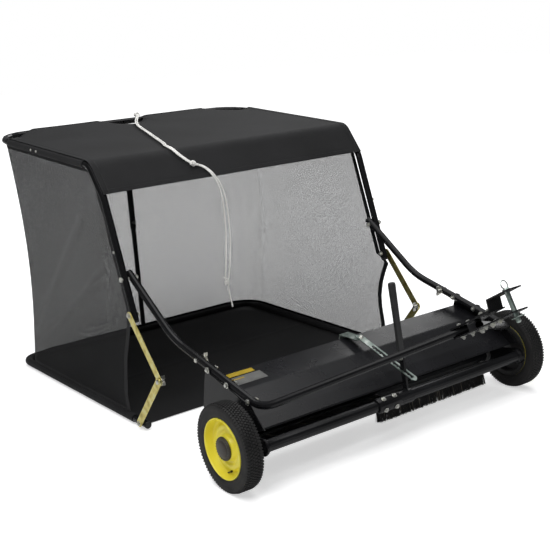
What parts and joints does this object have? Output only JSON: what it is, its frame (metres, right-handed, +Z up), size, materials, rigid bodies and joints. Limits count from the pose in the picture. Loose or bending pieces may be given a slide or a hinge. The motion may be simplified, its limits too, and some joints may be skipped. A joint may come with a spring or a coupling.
{
  "type": "tow-behind lawn sweeper",
  "caption": "Tow-behind lawn sweeper: wheel-driven brush under a bent steel housing, tubular tow frame, and a mesh hopper that tips on a frame of tubes.",
  "frame": {"origin": "middle of the footprint, on the ground", "axes": "+X to the right of travel seen from the rear of the hitch, +Y to the rear, along the length, +Z up"},
  "size_m": [1.297, 2.2754, 0.9745],
  "materials": {
    "black_powder_coat": "satin",
    "black_gloss_paint": "gloss",
    "yellow_rim_plastic": "semi gloss",
    "tyre_rubber": "matt",
    "hub_cap_plastic": "matt",
    "gear_plastic": "matt",
    "bristle_nylon": "matt",
    "zinc_plate": "zinc plated",
    "yellow_zinc_plate": "yellow zinc plated",
    "bolt_zinc": "zinc plated",
    "grip_vinyl": "satin vinyl",
    "canopy_fabric": "woven",
    "mesh_fabric": "open mesh",
    "rope_white": "braided",
    "bush_plastic": "matt"
  },
  "bodies": {
    "housing": {"side_plate_left": "black_powder_coat", "side_plate_right": "black_powder_coat", "housing_cover": "black_gloss_paint", "brush_bearing_left": "bush_plastic", "brush_bearing_right": "bush_plastic", "tow_tube_left": "black_powder_coat", "tow_tube_right": "black_powder_coat", "hitch_plate_upper": "black_powder_coat", "hitch_plate_lower": "black_powder_coat", "hitch_clevis": "black_powder_coat", "arm_bolt_left": "bolt_zinc", "arm_bolt_right": "bolt_zinc", "hopper_arm_left": "black_powder_coat", "hopper_arm_right": "black_powder_coat", "height_strap": "zinc_plate", "height_bracket": "zinc_plate"},
    "wheel_carrier": {"swing_plate_left": "black_powder_coat", "swing_plate_right": "black_powder_coat", "front_cross_tube": "black_powder_coat", "lever_clamp": "black_powder_coat", "height_lever": "black_powder_coat", "lever_grip": "grip_vinyl"},
    "left_wheel": {"rim_left": "yellow_rim_plastic", "tyre_left": "tyre_rubber", "hub_cap_left": "hub_cap_plastic", "ring_gear_left": "gear_plastic"},
    "right_wheel": {"rim_right": "yellow_rim_plastic", "tyre_right": "tyre_rubber", "hub_cap_right": "hub_cap_plastic", "ring_gear_right": "gear_plastic"},
    "left_pinion": {"pinion_left": "gear_plastic"},
    "right_pinion": {"pinion_right": "gear_plastic"},
    "brush": {"brush_shaft": "black_powder_coat", "bristles_left": "bristle_nylon", "bristles_right": "bristle_nylon"},
    "hitch_pin": {"hitch_pin": "zinc_plate"},
    "hitch_clip": {"hitch_clip": "zinc_plate"},
    "hopper": {"hopper_upright_left": "black_powder_coat", "hopper_upright_right": "black_powder_coat", "hopper_top_tube": "black_powder_coat", "pivot_bolt_left": "bolt_zinc", "pivot_bolt_right": "bolt_zinc", "rear_post_upper": "black_powder_coat", "canopy": "canopy_fabric", "mesh_wall_left": "mesh_fabric", "mesh_wall_right": "mesh_fabric", "mesh_wall_rear": "mesh_fabric", "dump_rope": "rope_white", "rope_knot": "rope_white"},
    "hopper_floor": {"floor_frame": "black_powder_coat", "hopper_floor_panel": "canopy_fabric", "rear_post_lower": "black_powder_coat"},
    "upper_knee_left": {"knee_link_upper_left": "yellow_zinc_plate"},
    "upper_knee_right": {"knee_link_upper_right": "yellow_zinc_plate"},
    "lower_knee_left": {"knee_link_lower_left": "yellow_zinc_plate", "knee_bolt_left": "bolt_zinc"},
    "lower_knee_right": {"knee_link_lower_right": "yellow_zinc_plate", "knee_bolt_right": "bolt_zinc"}
  },
  "joints": [
    {"name": "height_adjust", "type": "hinge", "parent": "housing", "child": "wheel_carrier", "pos_m": [0, -0.4556, 0.11996], "axis": [1, 0, 0], "range_deg": [-8, 12]},
    {"name": "left_wheel_spin", "type": "hinge", "parent": "wheel_carrier", "child": "left_wheel", "pos_m": [-0.614, -0.5148, 0.14], "axis": [1, 0, 0], "continuous": true},
    {"name": "right_wheel_spin", "type": "hinge", "parent": "wheel_carrier", "child": "right_wheel", "pos_m": [0.614, -0.5148, 0.14], "axis": [1, 0, 0], "continuous": true},
    {"name": "left_pinion_spin", "type": "hinge", "parent": "wheel_carrier", "child": "left_pinion", "pos_m": [-0.593, -0.4556, 0.11996], "axis": [1, 0, 0], "continuous": true},
    {"name": "right_pinion_spin", "type": "hinge", "parent": "wheel_carrier", "child": "right_pinion", "pos_m": [0.593, -0.4556, 0.11996], "axis": [1, 0, 0], "continuous": true},
    {"name": "brush_spin", "type": "hinge", "parent": "wheel_carrier", "child": "brush", "pos_m": [0, -0.4556, 0.11996], "axis": [1, 0, 0], "continuous": true},
    {"name": "pin_lift", "type": "slide", "parent": "housing", "child": "hitch_pin", "axis": [0, 0.4939, 0.8695], "range_m": [0, 0.011]},
    {"name": "clip_pull", "type": "slide", "parent": "hitch_pin", "child": "hitch_clip", "axis": [0, -0.8695, 0.4939], "range_m": [0, 0.045]},
    {"name": "hopper_tip", "type": "hinge", "parent": "housing", "child": "hopper", "pos_m": [0, 0.1502, 0.53], "axis": [1, 0, 0], "range_deg": [0, 85]},
    {"name": "floor_fold", "type": "slide", "parent": "hopper", "child": "hopper_floor", "axis": [0, 0, 1], "range_m": [0, 0.22], "deforming": ["mesh_wall_left", "mesh_wall_right", "mesh_wall_rear"]},
    {"name": "upper_knee_left", "type": "hinge", "parent": "hopper", "child": "upper_knee_left", "pos_m": [-0.576, 0.1142, 0.412], "axis": [1, 0, 0], "range_deg": [-33, 0]},
    {"name": "lower_knee_left", "type": "hinge", "parent": "hopper_floor", "child": "lower_knee_left", "pos_m": [-0.5815, 0.1142, 0.0255], "axis": [1, 0, 0], "range_deg": [0, 33]},
    {"name": "upper_knee_right", "type": "hinge", "parent": "hopper", "child": "upper_knee_right", "pos_m": [0.576, 0.1142, 0.412], "axis": [1, 0, 0], "range_deg": [-33, 0]},
    {"name": "lower_knee_right", "type": "hinge", "parent": "hopper_floor", "child": "lower_knee_right", "pos_m": [0.5815, 0.1142, 0.0255], "axis": [1, 0, 0], "range_deg": [0, 33]}
  ],
  "couplings": [
    {"joint": "left_pinion_spin", "follows": "left_wheel_spin", "ratio": 5},
    {"joint": "right_pinion_spin", "follows": "right_wheel_spin", "ratio": 5},
    {"joint": "brush_spin", "follows": "left_wheel_spin", "ratio": 5},
    {"joint": "upper_knee_left", "follows": "floor_fold", "rad_per_m": -2.462},
    {"joint": "lower_knee_left", "follows": "floor_fold", "rad_per_m": 2.462},
    {"joint": "upper_knee_right", "follows": "floor_fold", "rad_per_m": -2.462},
    {"joint": "lower_knee_right", "follows": "floor_fold", "rad_per_m": 2.462}
  ]
}
